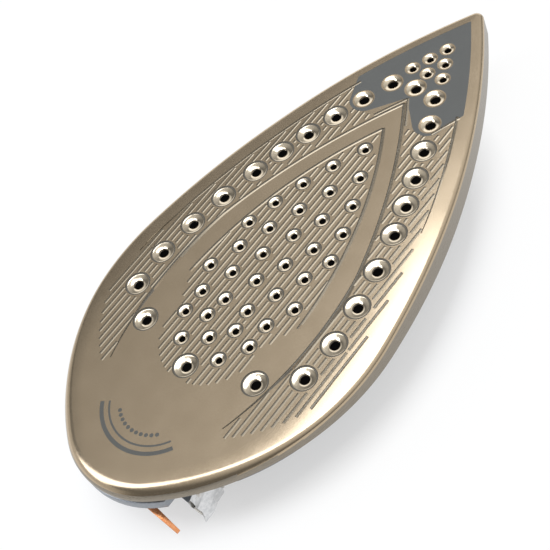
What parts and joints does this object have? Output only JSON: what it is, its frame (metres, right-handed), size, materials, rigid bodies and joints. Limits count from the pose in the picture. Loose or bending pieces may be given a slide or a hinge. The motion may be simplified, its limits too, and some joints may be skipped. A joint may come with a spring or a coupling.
{
  "type": "steam iron soleplate",
  "caption": "Pointed flat ironing sole with dished steam holes and fine grooves, on a heated cast block with a steam chamber, a temperature limiter and connection blades behind.",
  "frame": {"origin": "on the resting plane, under the middle of the sole's outline", "axes": "+X from heel to toe, +Y across, +Z out of the ironing face, which is up"},
  "size_m": [0.2266, 0.116, 0.028],
  "materials": {
    "sole_steel": "satin coating",
    "cast_aluminium": "as cast",
    "element_steel": "drawn",
    "ceramic": "matte fired",
    "tinned_steel": "bright tinned",
    "silicone": "matte",
    "cover_steel": "zinc plated",
    "screw_steel": "zinc plated",
    "inlet_brass": "turned",
    "limiter_metal": "pressed",
    "copper": "rolled",
    "dark_steel": "blackened",
    "fuse_case": "tinned"
  },
  "bodies": {
    "root": {"sole_face": "sole_steel", "heater_block": "cast_aluminium", "element_end_left": "element_steel", "element_end_right": "element_steel", "element_pin_left": "element_steel", "element_pin_right": "element_steel", "element_seal_left": "ceramic", "element_seal_right": "ceramic", "limiter_body": "ceramic", "element_tab_left": "tinned_steel", "element_tab_right": "tinned_steel", "limiter_bracket": "tinned_steel", "limiter_tab_left": "tinned_steel", "limiter_tab_right": "tinned_steel", "fuse_clip": "tinned_steel", "chamber_gasket": "silicone", "inlet_seal": "silicone", "chamber_cover": "cover_steel", "cover_screws": "screw_steel", "limiter_screws": "screw_steel", "clip_screw": "screw_steel", "steam_inlet": "inlet_brass", "limiter_cap": "limiter_metal", "earth_blade": "copper", "fuse_lead": "copper", "earth_rivet": "dark_steel", "lead_rivet": "dark_steel", "fuse_body": "fuse_case"}
  },
  "joints": []
}
